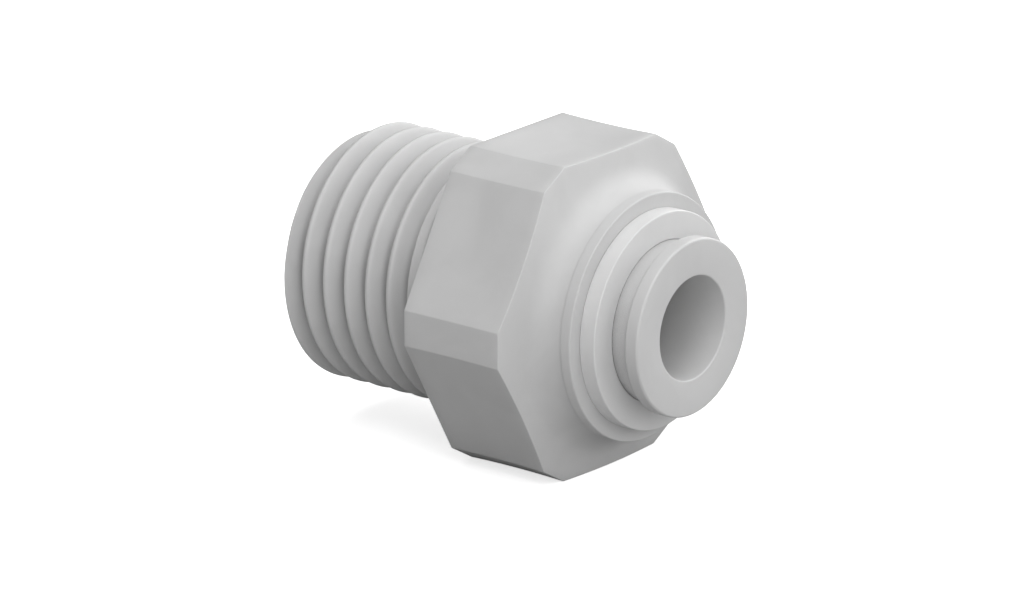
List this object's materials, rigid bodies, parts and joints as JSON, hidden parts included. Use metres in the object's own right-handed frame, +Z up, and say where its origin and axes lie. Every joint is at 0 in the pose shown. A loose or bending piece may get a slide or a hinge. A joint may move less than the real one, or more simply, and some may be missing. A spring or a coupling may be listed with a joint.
{
  "type": "male tube connector",
  "caption": "Straight moulded push-in connector: parallel pipe thread, hexagon with cut corners, stepped nose and a release collet for plastic tube.",
  "frame": {"origin": "on the axis, in the shoulder face where the thread meets the hexagon", "axes": "+X along the axis towards the tube, -X along the thread, +Z up; the connector lies on one flat of its hexagon"},
  "size_m": [0.0204, 0.0174, 0.016],
  "materials": {
    "moulded_body": "light grey moulded acetal, satin",
    "cap_plastic": "light grey moulded acetal, satin",
    "collet_plastic": "light grey moulded acetal, satin, a little smoother on the flange",
    "tooth_steel": "bright stamped stainless strip",
    "seal_rubber": "black nitrile rubber with a faint film of grease",
    "spacer_plastic": "natural moulded plastic"
  },
  "bodies": {
    "fitting": {"body": "moulded_body", "tube_seal": "seal_rubber", "spacer_ring": "spacer_plastic", "retaining_cap": "cap_plastic"},
    "release_collet": {"collet": "collet_plastic", "grip_tooth_1": "tooth_steel", "grip_tooth_2": "tooth_steel", "grip_tooth_3": "tooth_steel", "grip_tooth_4": "tooth_steel"}
  },
  "joints": [
    {"name": "collet_release", "type": "slide", "parent": "fitting", "child": "release_collet", "axis": [1, 0, 0], "range_m": [-0.001, 0]}
  ]
}
